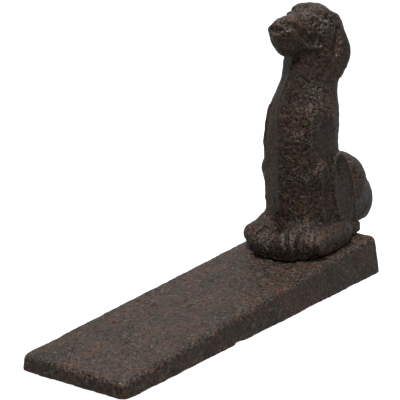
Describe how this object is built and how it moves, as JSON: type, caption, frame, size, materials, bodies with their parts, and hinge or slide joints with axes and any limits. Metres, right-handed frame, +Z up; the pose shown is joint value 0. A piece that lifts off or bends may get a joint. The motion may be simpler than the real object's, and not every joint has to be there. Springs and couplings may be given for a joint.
{
  "type": "door stop",
  "caption": "Cast-iron wedge door stop with a sitting dog on its thick end.",
  "frame": {"origin": "on the floor, at the centre of the whole object's footprint box", "axes": "+X from the wedge's thin end towards its thick end, +Y to the dog's right, +Z up"},
  "size_m": [0.173, 0.0442, 0.1028],
  "materials": {
    "cast_iron": "sand-cast iron with a dark brown, slightly rusty coating, grainy and satin",
    "steel": "zinc-plated steel"
  },
  "bodies": {
    "root": {"wedge": "cast_iron", "dog_figure": "cast_iron", "fixing_screw": "steel", "lock_washer": "steel"}
  },
  "joints": []
}
